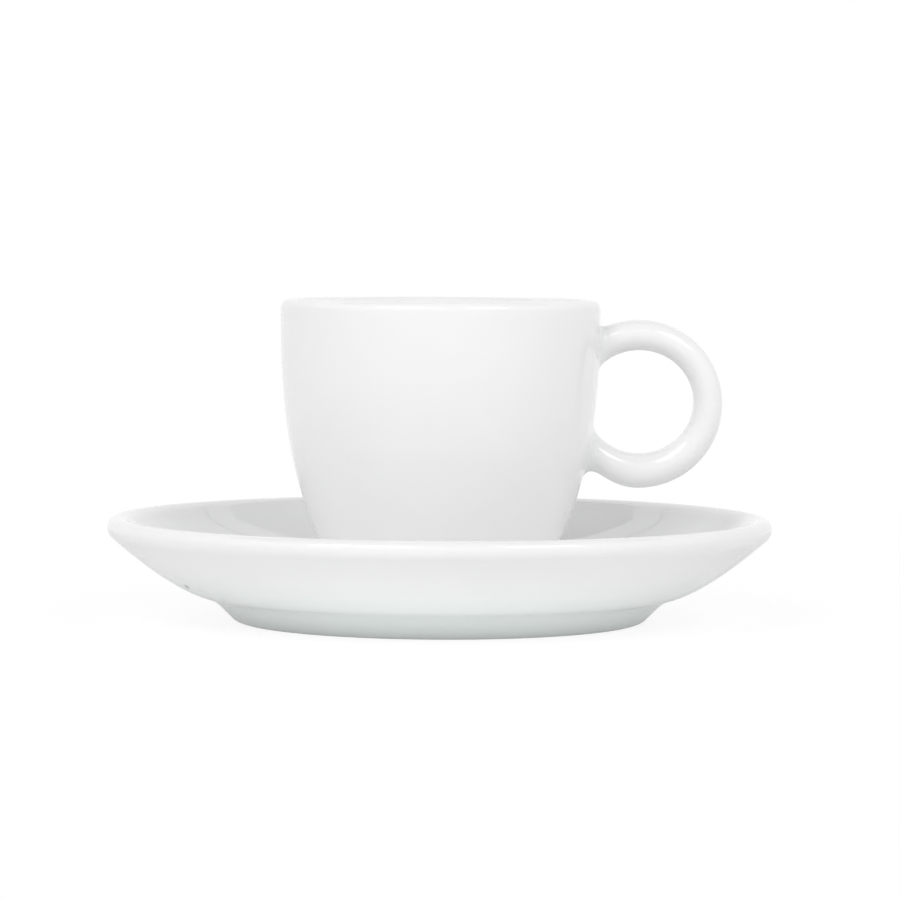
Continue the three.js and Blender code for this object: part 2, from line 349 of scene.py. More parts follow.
def cup_profile(c):
    rim_radius = c.rim_thickness / 2
    wall = cup_wall(c)
    rim = wall[-1] - [rim_radius, 0]
    inner_rim = rim - [rim_radius, 0]
    foot_outer = np.array([c.foot_diameter / 2, c.seat])
    foot_inner = foot_outer - [c.foot_width, 0]
    hollow_edge = foot_inner + [-c.foot_draft, c.foot_recess]
    hollow_middle = [0, c.seat + c.foot_recess]
    floor_edge = np.array([c.floor_diameter / 2, c.seat + c.foot_recess + c.floor_thickness])

    # The corner between foot and wall is rounded twice as far as the other edges
    wall_rounding = 2 * c.edge_rounding
    after_foot = next(i for i, p in enumerate(wall) if p[1] > wall[0][1] + wall_rounding)
    return joined(
        [hollow_middle],
        rounded(hollow_middle, hollow_edge, foot_inner, c.edge_rounding),
        rounded(hollow_edge, foot_inner, foot_outer, c.edge_rounding),
        rounded(foot_inner, foot_outer, wall[0], c.edge_rounding),
        rounded(foot_outer, wall[0], wall[after_foot], wall_rounding),
        wall[after_foot:],
        arc(rim, rim_radius, 0, math.pi),
        bezier(inner_rim, inner_rim - [0, c.inner_upright_pull],
               floor_edge + [c.floor_pull, 0], floor_edge),
        [[0, floor_edge[1]]],
    )


def glaze_pools(profile, gathered):
    """How far the glaze has run together at each point: 1 in a tight corner, below 0 on a thin edge.

    On the outside, below a height, it also gives a share of the green tint, which fades in over a few
    millimetres.
    """
    run = 1.2 * MM  # how far glaze is drawn along the surface into a corner
    full_corner = 0.25 / MM  # curvature of a corner that holds all it can
    fade = 5 * MM  # height over which that low green tint fades in
    # share of the green tint that the outside takes below the height
    low_tint_share = 0.7
    steps = np.diff(profile, axis=0)
    heading = np.unwrap(np.arctan2(steps[:, 1], steps[:, 0]))
    turning = np.concatenate([[0], np.diff(heading), [0]])
    place = np.concatenate([[0], np.cumsum(np.linalg.norm(steps, axis=1))])
    spread = np.exp(-(((place[:, None] - place[None, :]) / run) ** 2) / 2) / (run * math.sqrt(TAU))
    corners = np.clip(-(spread @ turning) / full_corner, -1, 1)
    outside = np.arange(len(profile)) < profile[:, 0].argmax()
    low = np.clip((gathered - profile[:, 1]) / fade, 0, 1)
    return np.maximum(corners, low_tint_share * outside * low)


# Node trees

def add(tree, kind, inputs=None, **settings):
    """Adds a node, with its settings and with its inputs linked or set.

    Inputs go by name, or by number where several share a name: a colour mix has its colours at 6 and 7.
    """
    made = tree.nodes.new(kind)
    for name, value in settings.items():
        setattr(made, name, value)
    for name, value in (inputs or {}).items():
        if isinstance(value, bpy.types.NodeSocket):
            tree.links.new(value, made.inputs[name])
        else:
            made.inputs[name].default_value = value
    return made


def wheel_tree():
    """Turns a profile about the axis, warps it as a firing does, and gives it glaze and a bare foot."""
    tree = bpy.data.node_groups.get("porcelain_wheel")
    if tree:
        return tree
    tree = bpy.data.node_groups.new("porcelain_wheel", "GeometryNodeTree")
    face = tree.interface
    for name, kind in (
        ("Profile", "NodeSocketGeometry"),
        ("Turn Steps", "NodeSocketInt"),
        ("Warp Height", "NodeSocketFloat"),
        ("Warp Spacing", "NodeSocketFloat"),
        ("Warp Seed", "NodeSocketFloat"),
        ("Glaze", "NodeSocketMaterial"),
        ("Bare Body", "NodeSocketMaterial"),
    ):
        face.new_socket(name=name, in_out="INPUT", socket_type=kind)
    face.new_socket(name="Piece", in_out="OUTPUT", socket_type="NodeSocketGeometry")
    given = add(tree, "NodeGroupInput").outputs

    # A sheet with one row for each point of the profile and one column for each step of the turn
    count = add(tree, "GeometryNodeAttributeDomainSize", {"Geometry": given["Profile"]}, component="MESH")
    count = count.outputs["Point Count"]
    columns = add(tree, "ShaderNodeMath", {0: given["Turn Steps"], 1: 1.0}, operation="ADD")
    sheet = add(tree, "GeometryNodeMeshGrid", {
        "Size X": 1.0, "Size Y": 1.0, "Vertices X": count, "Vertices Y": columns.outputs[0]})
    place = add(tree, "GeometryNodeInputPosition").outputs[0]
    sheet_place = add(tree, "ShaderNodeSeparateXYZ", {0: place})
    last_row = add(tree, "ShaderNodeMath", {0: count, 1: 1.0}, operation="SUBTRACT")
    share = add(tree, "ShaderNodeMath", {0: sheet_place.outputs["X"], 1: 0.5}, operation="ADD")
    row = add(tree, "ShaderNodeMath", {0: share.outputs[0], 1: last_row.outputs[0]}, operation="MULTIPLY")
    row = add(tree, "ShaderNodeMath", {0: row.outputs[0]}, operation="ROUND")
    turn = add(tree, "ShaderNodeMath", {0: sheet_place.outputs["Y"], 1: -TAU}, operation="MULTIPLY")

    # Every point of the sheet takes the place and the marks of its row, turned about the axis
    of_row = {"Geometry": given["Profile"], "Index": row.outputs[0]}
    shape = sheet.outputs["Mesh"]
    for name in (POOL, BARE):
        value = add(tree, "GeometryNodeInputNamedAttribute", {"Name": name}, data_type="FLOAT")
        value = add(tree, "GeometryNodeSampleIndex", {**of_row, "Value": value.outputs[0]},
                    data_type="FLOAT", domain="POINT")
        shape = add(tree, "GeometryNodeStoreNamedAttribute", {
            "Geometry": shape, "Name": name, "Value": value.outputs[0]},
            data_type="FLOAT", domain="POINT").outputs[0]
    point = add(tree, "GeometryNodeSampleIndex", {**of_row, "Value": place},
                data_type="FLOAT_VECTOR", domain="POINT")
    point = add(tree, "ShaderNodeVectorRotate", {
        "Vector": point.outputs[0], "Angle": turn.outputs[0]}, rotation_type="Z_AXIS")
    shape = add(tree, "GeometryNodeSetPosition", {
        "Geometry": shape, "Position": point.outputs[0]}).outputs[0]
    shape = add(tree, "GeometryNodeMergeByDistance", {
        "Geometry": shape, "Distance": MERGE_DISTANCE}).outputs[0]

    # The firing takes the walls in here and there, and never out; the bare foot was ground flat
    spacing = add(tree, "ShaderNodeMath", {0: 1.0, 1: given["Warp Spacing"]}, operation="DIVIDE")
    swell = add(tree, "ShaderNodeTexNoise", {
        "Vector": place, "W": given["Warp Seed"], "Scale": spacing.outputs[0], "Detail": 1.0},
        noise_dimensions="4D")
    foot = add(tree, "GeometryNodeInputNamedAttribute", {"Name": BARE}, data_type="FLOAT")
    free = add(tree, "ShaderNodeMath", {0: 1.0, 1: foot.outputs[0]}, operation="SUBTRACT")
    inward = add(tree, "ShaderNodeMath", {
        0: swell.outputs[0], 1: given["Warp Height"]}, operation="MULTIPLY")
    inward = add(tree, "ShaderNodeMath", {0: inward.outputs[0], 1: free.outputs[0]}, operation="MULTIPLY")
    inward = add(tree, "ShaderNodeMath", {0: inward.outputs[0], 1: -1.0}, operation="MULTIPLY")
    outward = add(tree, "GeometryNodeInputNormal")
    moved = add(tree, "ShaderNodeVectorMath", {
        0: outward.outputs[0], "Scale": inward.outputs[0]}, operation="SCALE")
    shape = add(tree, "GeometryNodeSetPosition", {
        "Geometry": shape, "Offset": moved.outputs[0]}).outputs[0]

    shape = add(tree, "GeometryNodeSetShadeSmooth", {0: shape}).outputs[0]
    shape = add(tree, "GeometryNodeRealizeInstances", {"Geometry": shape}).outputs[0]
    shape = add(tree, "GeometryNodeSetMaterial", {
        "Geometry": shape, "Material": given["Glaze"]}).outputs[0]
    is_bare = add(tree, "FunctionNodeCompare", {0: foot.outputs[0], 1: 0.5}, data_type="FLOAT",
                  operation="GREATER_THAN")
    shape = add(tree, "GeometryNodeSetMaterial", {
        "Geometry": shape, "Selection": is_bare.outputs[0], "Material": given["Bare Body"]}).outputs[0]
    add(tree, "NodeGroupOutput", {0: shape})
    return tree


# Materials

PORCELAIN_IOR = 1.5

# Patterns of the glaze
CLOUD_SIZE = 55 * MM  # of thicker and thinner glaze
DULL_SIZE = 30 * MM  # of patches with a little less gloss
PEEL_SIZE = 7 * MM  # of the orange peel
PEEL_HEIGHT = 0.008 * MM
POOL_TINT = 0.7  # of the pooled colour, in a full corner

# Iron spots under the glaze, as places on the set, radii, and squeezes of the spot along each axis
SPECKS = (
    ((-0.0592, -0.0288, 0.0102), 1.1 * MM, (1, 0.2, 1)),
)
SPECK_CORE = 0.3  # share of the radius that is darkest
SPECK_TINT = 0.65

# Patterns of the bare body
RUB_SIZE = 9 * MM
GRAIN_SIZE = 0.35 * MM  # the real grain is under 0.1 mm and wouldn't show
GRAIN_HEIGHT = 0.04 * MM


def new_material(name):
    material = bpy.data.materials.new(name)
    material.use_nodes = True
    material.node_tree.nodes.clear()
    return material, material.node_tree


def glazed_porcelain(colours):
    """Hard-paste porcelain under a clear feldspar glaze, sprayed and fired to a gloss.

    The eye sees a cool white body, sharp reflections that swim a little on the glaze's faint
    orange peel, a breath of green where the glaze has run together and low on the saucer's outside, and a
    rare iron spot.
    """
    found = bpy.data.materials.get("glazed_porcelain")
    if found:
        return found
    material, tree = new_material("glazed_porcelain")
    place = add(tree, "ShaderNodeTexCoord").outputs["Object"]

    # Clouds of thicker glaze, and the tint where it has run together and low on the outside
    clouds = add(tree, "ShaderNodeTexNoise", {"Vector": place, "Scale": 1 / CLOUD_SIZE, "Detail": 3.0})
    clouds = add(tree, "ShaderNodeMapRange", {
        "Value": clouds.outputs[0], "From Min": 0.35, "From Max": 0.65})
    body = add(tree, "ShaderNodeMix", {
        0: clouds.outputs[0], 6: tuple(colours.white), 7: tuple(colours.shade)}, data_type="RGBA")
    pools = add(tree, "ShaderNodeAttribute", attribute_name=POOL)
    pools = add(tree, "ShaderNodeMapRange", {"Value": pools.outputs["Fac"], "To Max": POOL_TINT})
    tinted = add(tree, "ShaderNodeMix", {
        0: pools.outputs[0], 6: body.outputs[2], 7: tuple(colours.pooled)}, data_type="RGBA")

    skin = tinted.outputs[2]
    for centre, radius, squeeze in SPECKS:
        away = add(tree, "ShaderNodeVectorMath", {0: place, 1: centre}, operation="SUBTRACT")
        away = add(tree, "ShaderNodeVectorMath", {0: away.outputs[0], 1: squeeze}, operation="MULTIPLY")
        away = add(tree, "ShaderNodeVectorMath", {0: away.outputs[0]}, operation="LENGTH")
        spot = add(tree, "ShaderNodeMapRange", {
            "Value": away.outputs["Value"], "From Min": radius, "From Max": SPECK_CORE * radius,
            "To Max": SPECK_TINT}, interpolation_type="SMOOTHSTEP")
        skin = add(tree, "ShaderNodeMix", {
            0: spot.outputs[0], 6: skin, 7: tuple(colours.speck)}, data_type="RGBA").outputs[2]

    gloss = add(tree, "ShaderNodeTexNoise", {"Vector": place, "Scale": 1 / DULL_SIZE, "Detail": 4.0})
    gloss = add(tree, "ShaderNodeMapRange", {
        "Value": gloss.outputs[0], "From Min": 0.3, "From Max": 0.7, "To Min": 0.015, "To Max": 0.03})
    peel = add(tree, "ShaderNodeTexNoise", {"Vector": place, "Scale": 1 / PEEL_SIZE, "Detail": 1.0})
    peel = add(tree, "ShaderNodeBump", {
        "Height": peel.outputs[0], "Strength": 1.0, "Distance": PEEL_HEIGHT})
    shader = add(tree, "ShaderNodeBsdfPrincipled", {
        "Base Color": skin, "Roughness": gloss.outputs[0], "Normal": peel.outputs[0],
        "IOR": PORCELAIN_IOR})
    add(tree, "ShaderNodeOutputMaterial", {"Surface": shader.outputs[0]})
    return material


def bare_porcelain(colours):
    """Porcelain body that was wiped free of glaze before the firing, so that it wouldn't stick.

    The eye sees a dry, warm white with a fine grain, and the grey that tables have rubbed in.
    """
    found = bpy.data.materials.get("bare_porcelain")
    if found:
        return found
    material, tree = new_material("bare_porcelain")
    place = add(tree, "ShaderNodeTexCoord").outputs["Object"]

    rubbed = add(tree, "ShaderNodeTexNoise", {"Vector": place, "Scale": 1 / RUB_SIZE, "Detail": 5.0})
    rubbed = add(tree, "ShaderNodeMapRange", {
        "Value": rubbed.outputs[0], "From Min": 0.35, "From Max": 0.75})
    body = add(tree, "ShaderNodeMix", {
        0: rubbed.outputs[0], 6: tuple(colours.bare), 7: tuple(colours.bare_shade)}, data_type="RGBA")

    grain = add(tree, "ShaderNodeTexNoise", {"Vector": place, "Scale": 1 / GRAIN_SIZE, "Detail": 3.0})
    dry = add(tree, "ShaderNodeMapRange", {
        "Value": grain.outputs[0], "From Min": 0.3, "From Max": 0.7, "To Min": 0.68, "To Max": 0.9})
    grit = add(tree, "ShaderNodeBump", {
        "Height": grain.outputs[0], "Strength": 0.6, "Distance": GRAIN_HEIGHT})
    shader = add(tree, "ShaderNodeBsdfPrincipled", {
        "Base Color": body.outputs[2], "Roughness": dry.outputs[0], "Normal": grit.outputs[0],
        "IOR": PORCELAIN_IOR})
    add(tree, "ShaderNodeOutputMaterial", {"Surface": shader.outputs[0]})
    return material


# Meshes and pieces

def mark(mesh, name, values):
    attribute = mesh.attributes.new(name, "FLOAT", "POINT")
    attribute.data.foreach_set("value", np.asarray(values, np.float32))


def new_piece(name, mesh):
    piece = bpy.data.objects.new(name, mesh)
    bpy.context.scene.collection.objects.link(piece)
    return piece


def turned_piece(name, profile, foot, gathered, seed, colours):
    """A piece turned from its profile, with a bare ring at its foot and a faint green tint on its outside
    below a height.
    """
    outline = bpy.data.meshes.new(name + "_profile")
    points = [(r, 0.0, z) for r, z in profile]
    outline.from_pydata(points, [(i, i + 1) for i in range(len(points) - 1)], [])
    mark(outline, POOL, glaze_pools(profile, gathered))
    mark(outline, BARE, profile[:, 1] < foot + BARE_HEIGHT)
    piece = new_piece(name, outline)

    tree = wheel_tree()
    wheel = piece.modifiers.new("wheel", "NODES")
    wheel.node_group = tree
    values = {
        "Turn Steps": colours.turn_steps,
        "Warp Height": colours.warp,
        "Warp Spacing": colours.warp_spacing,
        "Warp Seed": float(seed),
        "Glaze": glazed_porcelain(colours),
        "Bare Body": bare_porcelain(colours),
    }
    for socket in tree.interface.items_tree:
        if socket.in_out == "INPUT" and socket.name in values:
            wheel[socket.identifier] = values[socket.name]

    seen = bpy.context.evaluated_depsgraph_get()
    mesh = bpy.data.meshes.new_from_object(
        piece.evaluated_get(seen), preserve_all_data_layers=True, depsgraph=seen)
    if not mesh.polygons:
        raise RuntimeError(f"the wheel gave no faces for {name}")
    piece.modifiers.remove(wheel)
    piece.data = mesh
    mesh.name = name
    for i in reversed([i for i, material in enumerate(mesh.materials) if not material]):
        mesh.materials.pop(index=i)
    bpy.data.meshes.remove(outline)
    return piece


def unit(vectors):
    return vectors / np.linalg.norm(vectors, axis=-1, keepdims=True)


class CupWall:
    """The cup's outer wall, to fit the handle's roots to."""

    def __init__(self, cup):
        self.radius, self.height = np.array(cup_wall(cup)).T
        self.lean = np.gradient(self.radius, self.height)

    def clear(self, points):
        """How far points stand out from the wall, level with them."""
        radius = np.interp(points[..., 2], self.height, self.radius)
        return np.hypot(points[..., 0], points[..., 1]) - radius

    def normal(self, points):
        lean = np.interp(points[..., 2], self.height, self.lean)
        away = np.hypot(points[..., 0], points[..., 1])
        return unit(np.stack([points[..., 0] / away, points[..., 1] / away, -lean], -1))

    def settle(self, points):
        """The points on the wall next to these points."""
        for _ in range(SETTLE_MOVES):
            normal = self.normal(points)
            gap = self.clear(points) * np.hypot(normal[..., 0], normal[..., 1])
            points = points - normal * gap[..., None]
        return points


def ring_radius(h, turn, section):
    """How far points of the ring lie from its middle. Its underside tapers towards the lower root."""
    taper = np.clip((h.taper_start + turn) / (h.taper_start - h.taper_end), 0, 1)
    outer = h.diameter / 2 - h.taper * taper * taper * (3 - 2 * taper)
    hole = h.hole_diameter / 2
    return (outer + hole) / 2 + np.cos(section) * (outer - hole) / 2


def ring_points(h, turn, section):
    """Points on the handle's full ring, by the turn round it and the turn round its section.

    The hole's shift is full at the ring's far side, and turns back a little towards the cup.
    """
    radius = ring_radius(h, turn, section)
    inward = (1 - np.cos(section)) / 2
    far_side = (1 + 3 * np.cos(turn)) / 4
    return np.stack([
        h.reach + h.hole_shift * inward * far_side + radius * np.cos(turn),
        h.width / 2 * np.sin(section),
        h.level + h.hole_rise * inward + radius * np.sin(turn),
    ], -1)


def ring_normals(h, turn, section):
    round_it = ring_points(h, turn + TURN_NUDGE, section) - ring_points(h, turn - TURN_NUDGE, section)
    across = ring_points(h, turn, section + TURN_NUDGE) - ring_points(h, turn, section - TURN_NUDGE)
    return unit(np.cross(across, round_it))


def root_rows(h, wall, side, section, ring_fillet, wall_fillet):
    """A root of the handle: the turn at which the ring ends, and the rows of points from there.

    The rows follow a fillet from the ring to the wall and then go on into the wall.
    """
    near = np.full_like(section, side * math.pi / 2)
    far = np.full_like(section, side * math.pi)
    for _ in range(HALVINGS):
        middle = (near + far) / 2
        outside = wall.clear(ring_points(h, middle, section)) > 0
        near, far = np.where(outside, middle, near), np.where(outside, far, middle)
    meeting = ring_points(h, near, section)
    upright = wall.normal(meeting)
    spread = ring_normals(h, near, section)
    spread = unit(spread - upright * (spread * upright).sum(-1, keepdims=True))

    end = near - side * ring_fillet / ring_radius(h, near, section)
    start = ring_points(h, end, section)
    ahead = unit(ring_points(h, end + side * TURN_NUDGE, section) - start)
    reach = ((meeting - start) * upright).sum(-1) / (ahead * upright).sum(-1)
    corner = start + ahead * reach[:, None]
    landing = wall.settle(corner + spread * wall_fillet[:, None])
    landing = landing - wall.normal(landing) * ROOT_SINK

    rows = [start * (1 - t) ** 2 + corner * 2 * t * (1 - t) + landing * t * t
            for t in np.linspace(0, 1, ROOT_STEPS + 1)[1:]]
    upright = wall.normal(landing)
    rows.append(landing + spread * ROOT_SKIRT - upright * ROOT_SKIRT_DEPTH)
    rows.append(wall.settle(corner) - upright * ROOT_END_DEPTH)
    return end, rows


def handle_mesh(h, cup):
    """The ring from wall to wall, with a soft fillet at each root, and closed inside the wall."""
    wall = CupWall(cup)
    section = np.arange(SECTION_STEPS) * TAU / SECTION_STEPS
    outside = (1 + np.cos(section)) / 2
    beside = np.sin(section) ** 2

    def fillet(outer):
        in_plane = h.inner_fillet + (outer - h.inner_fillet) * outside
        return in_plane * (1 - beside) + h.side_fillet * beside

    top_end, top_root = root_rows(
        h, wall, 1, section, fillet(h.upper_ring_fillet), fillet(h.upper_wall_fillet))
    low_end, low_root = root_rows(
        h, wall, -1, section, fillet(h.lower_ring_fillet), fillet(h.lower_wall_fillet))
    ring = [ring_points(h, low_end + (top_end - low_end) * t, section)
            for t in np.linspace(0, 1, RING_STEPS + 1)]
    root_pools = ROOT_POOL * np.sin(math.pi * np.linspace(0, 1, len(top_root)))
    rows = [*low_root[::-1], *ring, *top_root]
    pools = np.concatenate([root_pools[::-1], np.zeros(len(ring)), root_pools])

    points = np.concatenate(rows + [rows[0].mean(0)[None], rows[-1].mean(0)[None]])
    faces = []
    for r in range(len(rows) - 1):
        for i in range(SECTION_STEPS):
            a, b = r * SECTION_STEPS + i, r * SECTION_STEPS + (i + 1) % SECTION_STEPS
            faces.append((a, b, b + SECTION_STEPS, a + SECTION_STEPS))
    first, last = len(points) - 2, len(points) - 1
    top = (len(rows) - 1) * SECTION_STEPS
    for i in range(SECTION_STEPS):
        j = (i + 1) % SECTION_STEPS
        faces += [(first, j, i), (last, top + i, top + j)]

    mesh = bpy.data.meshes.new("handle")
    mesh.from_pydata(points.tolist(), [], faces)
    mark(mesh, POOL, np.concatenate([np.repeat(pools, SECTION_STEPS), [0, 0]]))
    mesh.shade_smooth()
    return mesh


class CROCKERY_OT_saucer(bpy.types.Operator):
    """Make the saucer: foot ring, bowl-like underside, rounded rim, dish and the cup's seat"""

    bl_idname = "crockery.saucer"
    bl_label = "Saucer"

    def execute(self, context):
        settings = context.scene.crockery
        sizes = settings.saucer
        profile = saucer_profile(sizes)
        piece = turned_piece("glazed_saucer", profile, 0.0, sizes.gathered, SAUCER_SEED, settings.glaze)
        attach(piece, "saucer")
        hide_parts("saucer")
        return {"FINISHED"}


class CROCKERY_OT_cup_body(bpy.types.Operator):
    """Make the cup body: foot ring, bucket-shaped wall, rounded rim and the inside"""

    bl_idname = "crockery.cup_body"
    bl_label = "Cup Body"

    def execute(self, context):
        settings = context.scene.crockery
        sizes = settings.cup
        profile = cup_profile(sizes)
        piece = turned_piece("glazed_cup_body", profile, sizes.seat, sizes.seat, CUP_SEED, settings.glaze)
        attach(piece, "cup")
        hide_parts("cup_body")
        return {"FINISHED"}


class CROCKERY_OT_handle(bpy.types.Operator):
    """Make the handle: a ring of oval section with its two roots luted to the wall"""

    bl_idname = "crockery.handle"
    bl_label = "Handle"

    def execute(self, context):
        settings = context.scene.crockery
        piece = new_piece("glazed_handle", handle_mesh(settings.handle, settings.cup))
        piece.data.materials.append(glazed_porcelain(settings.glaze))
        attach(piece, "cup")
        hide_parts("handle", "upper_slip_seam", "lower_slip_seam")
        return {"FINISHED"}


# Studio

# Table, by distance from the cup's axis
FLOOR_RADIUS = 6.0
FLOOR_STEPS = 96
FLOOR_DROP = 0.02 * MM  # keeps the table clear of the foot
PAPER_GRAIN_SIZE = 2 * MM
SHADOW_REACH = (160 * MM, 420 * MM)  # where the shadow gives way to even white
SHADOW_GLOW = 0.87  # own light of the table where it shows the shadow
MIRROR_SHARE = 0.35  # of that look in the glaze's reflections
GLOW_EDGE = (52 * MM, 58 * MM)  # where the table's light comes out from under the foot
GLOW_UNDER = 0.33  # share of it that is left under the foot
GLOW_REACH = (90 * MM, 170 * MM)  # where it fades
FRONT_REACH = (62 * MM, 85 * MM)  # where the extra light in front fades
FRONT_SECTOR = (-0.4, -1.0)  # from beside the set to straight in front of it, along Y

# Backdrop and room
BACKDROP_LEAN = (0.036, 0, 1)  # direction in which heights count, so the top edge is lower on the right
BACKDROP_BLUR = math.radians(0.3)  # how softly its top edge ends
SEAM_HALF_WIDTH = 0.0035  # as a share of the sky's radius
WALL_BLEND = 0.15  # how far left and right of the middle the room's walls blend

# Lamps and camera
LAMP_AIM = Vector((0, 0, 40 * MM))
SENSOR_WIDTH = 36.0


def studio_floor(studio):
    """A white paper table that takes a soft shadow. The camera sees it white, and the gloss nearly so.

    Round the foot the paper glows a little by itself, as a light table does, and most in front of it.
    """
    turns = np.arange(FLOOR_STEPS) * TAU / FLOOR_STEPS
    rim = [(FLOOR_RADIUS * math.cos(a), FLOOR_RADIUS * math.sin(a), -FLOOR_DROP) for a in turns]
    mesh = bpy.data.meshes.new("studio_floor")
    mesh.from_pydata(rim, [], [tuple(range(FLOOR_STEPS))])
    floor = new_piece("studio_floor", mesh)
    material, tree = new_material("white_table")
    material.cycles.emission_sampling = "NONE"
    mesh.materials.append(material)

    paths = add(tree, "ShaderNodeLightPath").outputs
    white = tuple(studio.backdrop)
    place = add(tree, "ShaderNodeTexCoord").outputs["Object"]
    away = add(tree, "ShaderNodeVectorMath", {0: place}, operation="LENGTH").outputs["Value"]
    grain = add(tree, "ShaderNodeTexNoise", {"Vector": place, "Scale": 1 / PAPER_GRAIN_SIZE, "Detail": 2.0})
    paper = add(tree, "ShaderNodeMix", {
        0: grain.outputs[0], 6: tuple(studio.paper), 7: tuple(studio.paper_grain)}, data_type="RGBA")
    paper = add(tree, "ShaderNodeBsdfDiffuse", {"Color": paper.outputs[2]})

    # What the object is lit by: the paper and its own glow
    rise = add(tree, "ShaderNodeMapRange", {
        "Value": away, "From Min": GLOW_EDGE[0], "From Max": GLOW_EDGE[1], "To Min": GLOW_UNDER})
    fade = add(tree, "ShaderNodeMapRange", {
        "Value": away, "From Min": GLOW_REACH[0], "From Max": GLOW_REACH[1],
        "To Min": studio.table, "To Max": 0.0})
    ahead = add(tree, "ShaderNodeVectorMath", {0: place}, operation="NORMALIZE")
    ahead = add(tree, "ShaderNodeSeparateXYZ", {0: ahead.outputs[0]})
    ahead = add(tree, "ShaderNodeMapRange", {
        "Value": ahead.outputs["Y"], "From Min": FRONT_SECTOR[0], "From Max": FRONT_SECTOR[1]})
    close = add(tree, "ShaderNodeMapRange", {
        "Value": away, "From Min": FRONT_REACH[0], "From Max": FRONT_REACH[1],
        "To Min": studio.front, "To Max": 0.0})
    level = add(tree, "ShaderNodeMath", {
        0: ahead.outputs[0], 1: close.outputs[0], 2: fade.outputs[0]}, operation="MULTIPLY_ADD")
    level = add(tree, "ShaderNodeMath", {0: level.outputs[0], 1: rise.outputs[0]}, operation="MULTIPLY")
    light = add(tree, "ShaderNodeEmission", {"Color": white, "Strength": level.outputs[0]})
    light = add(tree, "ShaderNodeAddShader", {0: paper.outputs[0], 1: light.outputs[0]})

    # What the camera and the gloss see: white with the shadow in it, and even white further out
    shadow = add(tree, "ShaderNodeBsdfDiffuse", {"Color": tuple(studio.shadow_paper)})
    glow = add(tree, "ShaderNodeEmission", {"Color": white, "Strength": SHADOW_GLOW})
    near = add(tree, "ShaderNodeAddShader", {0: shadow.outputs[0], 1: glow.outputs[0]})
    share = add(tree, "ShaderNodeMapRange", {"Value": paths["Is Camera Ray"], "To Min": MIRROR_SHARE})
    near = add(tree, "ShaderNodeMixShader", {0: share.outputs[0], 1: paper.outputs[0], 2: near.outputs[0]})
    even = add(tree, "ShaderNodeEmission", {"Color": white, "Strength": 1.0})
    far = add(tree, "ShaderNodeMapRange", {
        "Value": away, "From Min": SHADOW_REACH[0], "From Max": SHADOW_REACH[1]},
        interpolation_type="SMOOTHSTEP")
    look = add(tree, "ShaderNodeMixShader", {0: far.outputs[0], 1: near.outputs[0], 2: even.outputs[0]})
    mirrored = add(tree, "ShaderNodeMath", {
        0: paths["Is Glossy Ray"], 1: paths["Is Transmission Ray"]}, operation="MAXIMUM")
    seen = add(tree, "ShaderNodeMath", {
        0: paths["Is Camera Ray"], 1: mirrored.outputs[0]}, operation="MAXIMUM")
    table = add(tree, "ShaderNodeMixShader", {0: seen.outputs[0], 1: light.outputs[0], 2: look.outputs[0]})

    # From below it is clear
    below = add(tree, "ShaderNodeNewGeometry").outputs["Backfacing"]
    clear = add(tree, "ShaderNodeBsdfTransparent")
    table = add(tree, "ShaderNodeMixShader", {0: below, 1: table.outputs[0], 2: clear.outputs[0]})
    add(tree, "ShaderNodeOutputMaterial", {"Surface": table.outputs[0]})


def studio_world(studio):
    """Soft light from all round. The camera and the gloss see a white backdrop under a darker room.

    The backdrop has a dark seam, and the room is darker on the left than on the right.
    """
    world = bpy.data.worlds.new("studio_room")
    world.use_nodes = True
    tree = world.node_tree
    tree.nodes.clear()
    white = tuple(studio.backdrop)
    way = add(tree, "ShaderNodeTexCoord").outputs["Generated"]
    height = add(tree, "ShaderNodeVectorMath", {0: way, 1: BACKDROP_LEAN}, operation="DOT_PRODUCT")
    height = height.outputs["Value"]
    over = add(tree, "ShaderNodeMapRange", {
        "Value": height, "From Min": math.sin(studio.backdrop_top),
        "From Max": math.sin(studio.backdrop_top + BACKDROP_BLUR)}, interpolation_type="SMOOTHSTEP")
    level = add(tree, "ShaderNodeMapRange", {
        "Value": over.outputs[0], "To Min": studio.bounce, "To Max": studio.room})
    light = add(tree, "ShaderNodeBackground", {"Color": white, "Strength": level.outputs[0]})

    seam = add(tree, "ShaderNodeMath", {
        0: height, 1: math.sin(studio.seam_level), 2: SEAM_HALF_WIDTH}, operation="COMPARE")
    sheet = add(tree, "ShaderNodeMix", {
        0: seam.outputs[0], 6: white, 7: tuple(studio.seam)}, data_type="RGBA")
    side = add(tree, "ShaderNodeSeparateXYZ", {0: way}).outputs["X"]
    side = add(tree, "ShaderNodeMapRange", {
        "Value": side, "From Min": -WALL_BLEND, "From Max": WALL_BLEND}, interpolation_type="SMOOTHSTEP")
    walls = add(tree, "ShaderNodeMix", {
        0: side.outputs[0], 6: tuple(studio.left_wall), 7: tuple(studio.right_wall)}, data_type="RGBA")
    look = add(tree, "ShaderNodeMix", {
        0: over.outputs[0], 6: sheet.outputs[2], 7: walls.outputs[2]}, data_type="RGBA")
    look = add(tree, "ShaderNodeBackground", {"Color": look.outputs[2], "Strength": 1.0})

    paths = add(tree, "ShaderNodeLightPath").outputs
    seen = add(tree, "ShaderNodeMath", {
        0: paths["Is Camera Ray"], 1: paths["Is Glossy Ray"]}, operation="MAXIMUM")
    seen = add(tree, "ShaderNodeMath", {
        0: seen.outputs[0], 1: paths["Is Transmission Ray"]}, operation="MAXIMUM")
    sky = add(tree, "ShaderNodeMixShader", {0: seen.outputs[0], 1: light.outputs[0], 2: look.outputs[0]})
    add(tree, "ShaderNodeOutputWorld", {"Surface": sky.outputs[0]})
    bpy.context.scene.world = world


